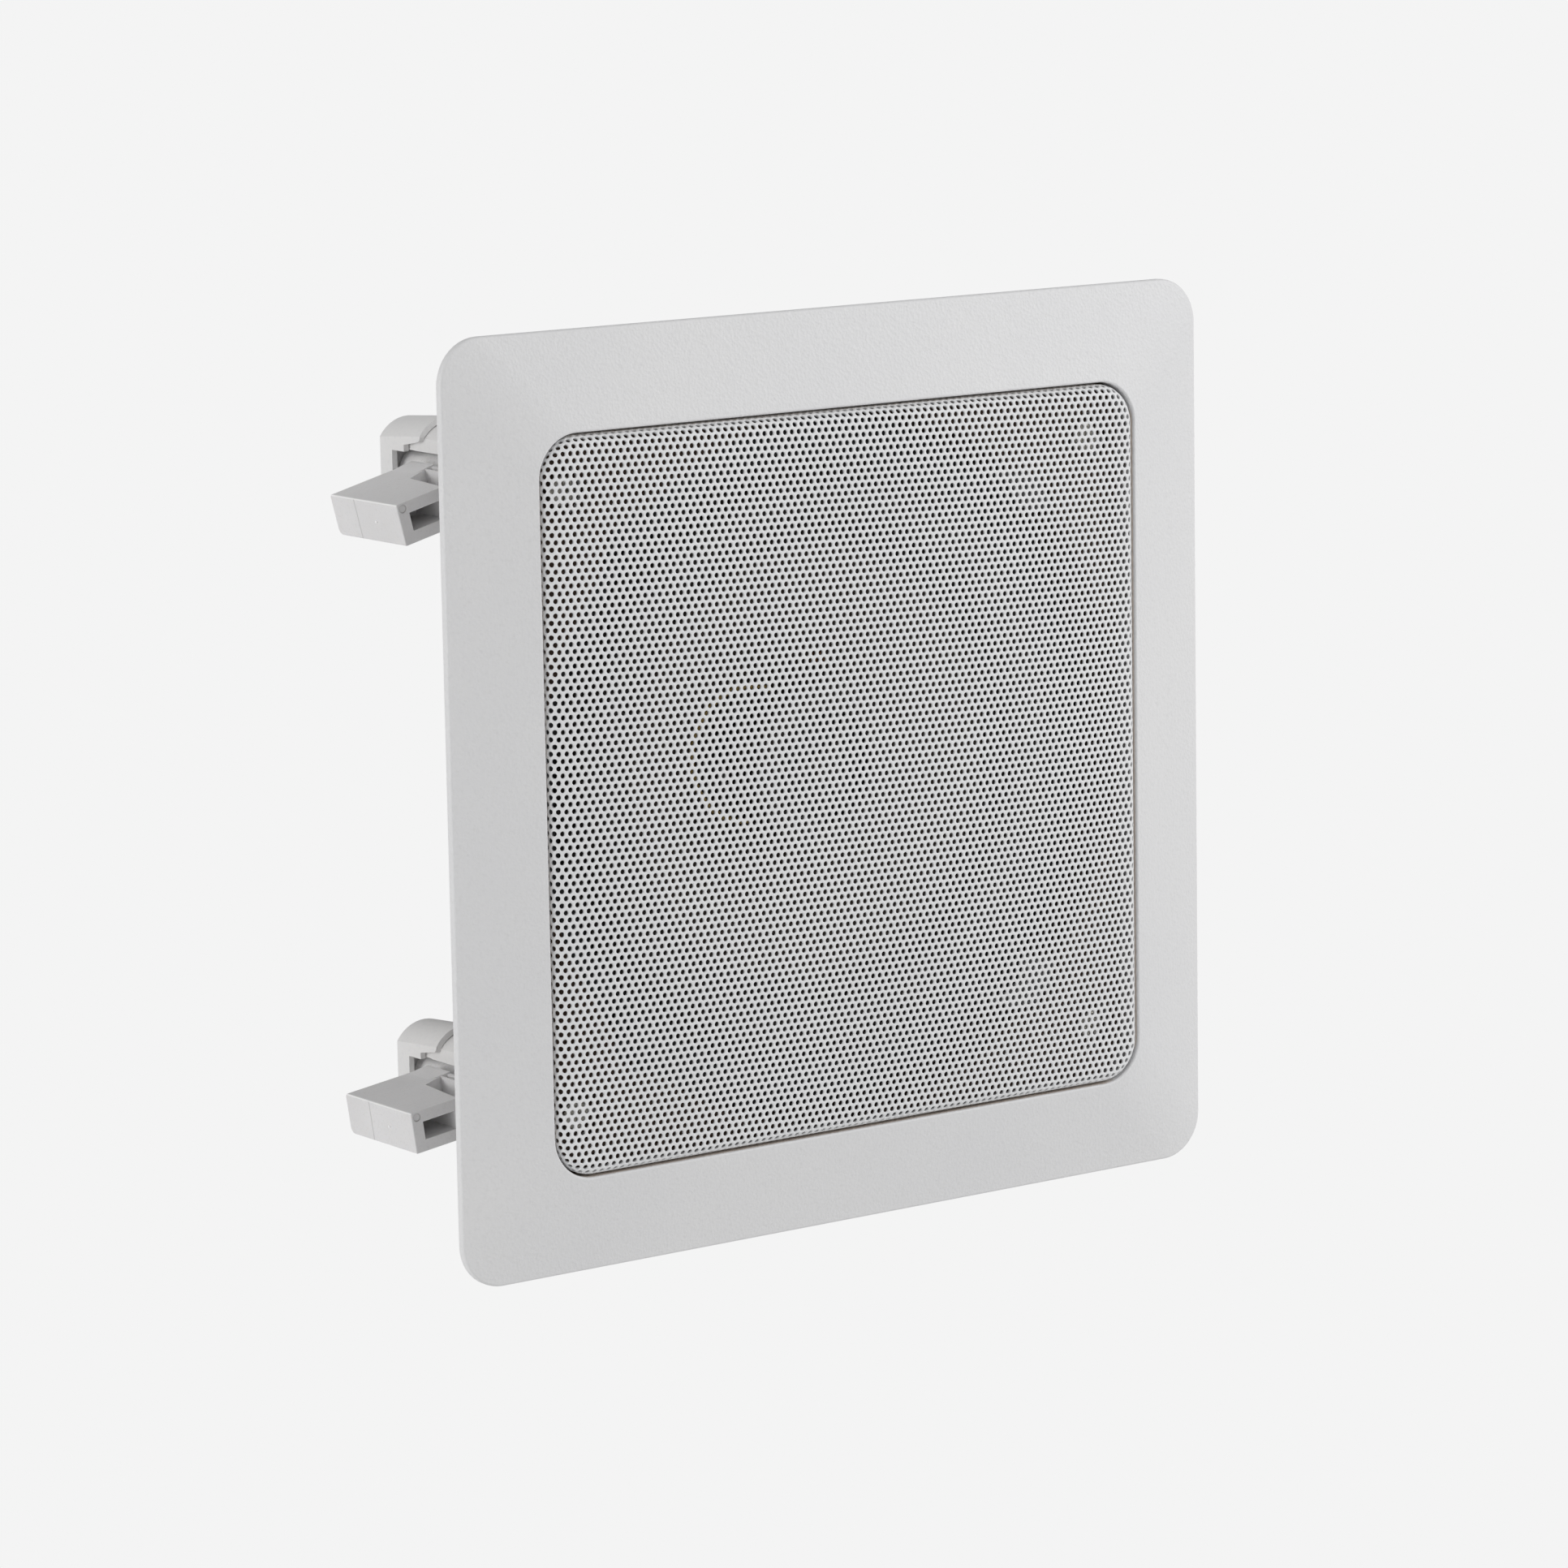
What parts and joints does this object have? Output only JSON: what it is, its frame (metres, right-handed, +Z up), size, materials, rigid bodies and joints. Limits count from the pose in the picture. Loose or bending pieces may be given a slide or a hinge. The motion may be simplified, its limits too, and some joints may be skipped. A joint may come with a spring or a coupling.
{
  "type": "ceiling speaker",
  "caption": "Square flush-mount ceiling speaker: sloping white frame, perforated grille, swing-out screw clamps and a coaxial driver.",
  "frame": {"origin": "centre of the flange, in the plane where its back meets the ceiling board", "axes": "+X right along the plate seen from the room, +Y from the room into the ceiling void, +Z up as pictured; in a ceiling -Y points down"},
  "size_m": [0.222, 0.0822, 0.222],
  "materials": {
    "frame_plastic": "white moulded ABS with a fine leather grain",
    "grille_paint": "matte white powder coat on perforated steel",
    "clamp_plastic": "off-white moulded nylon, satin",
    "zinc_screw": "zinc-plated steel",
    "basket_paint": "black electrocoat",
    "gasket_foam": "closed-cell black foam",
    "black_screw": "black-oxide steel",
    "surround_rubber": "soft butyl rubber",
    "cone_paper": "dark treated paper pulp",
    "former_foil": "bare foil",
    "copper_wire": "enamelled copper",
    "spider_cloth": "resin-treated yellow-brown cloth",
    "motor_steel": "zinc-plated turned steel",
    "ferrite": "dark grey sintered ferrite",
    "tweeter_plastic": "black moulded ABS",
    "dome_silk": "doped silk",
    "lead_sleeve": "yellow-brown insulation",
    "tinsel_braid": "copper tinsel braid",
    "board_phenolic": "brown phenolic paper board",
    "tinned_brass": "tinned brass",
    "capacitor_sleeve": "blue shrink sleeve"
  },
  "bodies": {
    "speaker_frame": {"back_plate": "motor_steel", "crossover_capacitor": "capacitor_sleeve", "driver_basket": "basket_paint", "driver_gasket": "gasket_foam", "driver_screws": "black_screw", "frame": "frame_plastic", "grille": "grille_paint", "magnet": "ferrite", "spider": "spider_cloth", "terminal_board": "board_phenolic", "terminals": "tinned_brass", "tinsel_leads": "tinsel_braid", "top_plate": "motor_steel", "tweeter_guard": "tweeter_plastic", "tweeter_housing": "tweeter_plastic", "tweeter_lead": "lead_sleeve", "tweeter_magnet": "ferrite", "tweeter_pole": "motor_steel", "tweeter_post": "tweeter_plastic", "tweeter_surround": "dome_silk", "tweeter_yoke": "motor_steel", "woofer_surround": "surround_rubber"},
    "upper_left_screw": {"clamp_screw_upper_left": "zinc_screw"},
    "upper_left_arm": {"clamp_arm_upper_left": "clamp_plastic"},
    "lower_left_screw": {"clamp_screw_lower_left": "zinc_screw"},
    "lower_left_arm": {"clamp_arm_lower_left": "clamp_plastic"},
    "upper_right_screw": {"clamp_screw_upper_right": "zinc_screw"},
    "upper_right_arm": {"clamp_arm_upper_right": "clamp_plastic"},
    "lower_right_screw": {"clamp_screw_lower_right": "zinc_screw"},
    "lower_right_arm": {"clamp_arm_lower_right": "clamp_plastic"},
    "woofer_diaphragm": {"woofer_cone": "cone_paper", "voice_coil_former": "former_foil", "voice_coil": "copper_wire", "lead_eyelets": "copper_wire"},
    "tweeter_diaphragm": {"tweeter_dome": "dome_silk", "tweeter_coil": "copper_wire"}
  },
  "joints": [
    {"name": "upper_left_swing", "type": "hinge", "parent": "speaker_frame", "child": "upper_left_screw", "pos_m": [-0.0775, 0, 0.0736], "axis": [0, -1, 0], "range_deg": [-14.3, 63.7]},
    {"name": "upper_left_grip", "type": "slide", "parent": "upper_left_screw", "child": "upper_left_arm", "axis": [0, 1, 0], "range_m": [-0.0123, 0.0012]},
    {"name": "lower_left_swing", "type": "hinge", "parent": "speaker_frame", "child": "lower_left_screw", "pos_m": [-0.0775, 0, -0.0736], "axis": [0, -1, 0], "range_deg": [-8.2, 156.8]},
    {"name": "lower_left_grip", "type": "slide", "parent": "lower_left_screw", "child": "lower_left_arm", "axis": [0, 1, 0], "range_m": [-0.0132, 0.0003]},
    {"name": "upper_right_swing", "type": "hinge", "parent": "speaker_frame", "child": "upper_right_screw", "pos_m": [0.0775, 0, 0.0736], "axis": [0, -1, 0], "range_deg": [0, 165]},
    {"name": "upper_right_grip", "type": "slide", "parent": "upper_right_screw", "child": "upper_right_arm", "axis": [0, 1, 0], "range_m": [-0.0132, 0.0003]},
    {"name": "lower_right_swing", "type": "hinge", "parent": "speaker_frame", "child": "lower_right_screw", "pos_m": [0.0775, 0, -0.0736], "axis": [0, -1, 0], "range_deg": [0, 78]},
    {"name": "lower_right_grip", "type": "slide", "parent": "lower_right_screw", "child": "lower_right_arm", "axis": [0, 1, 0], "range_m": [-0.0123, 0.0012]},
    {"name": "woofer_stroke", "type": "slide", "parent": "speaker_frame", "child": "woofer_diaphragm", "axis": [0, 1, 0], "range_m": [-0.003, 0.003], "stiffness_N_per_m": 1250, "deforming": ["woofer_surround", "spider", "tinsel_leads"]},
    {"name": "tweeter_stroke", "type": "slide", "parent": "speaker_frame", "child": "tweeter_diaphragm", "axis": [0, 1, 0], "range_m": [-0.0002, 0.0002], "stiffness_N_per_m": 2000, "deforming": ["tweeter_surround"]}
  ]
}
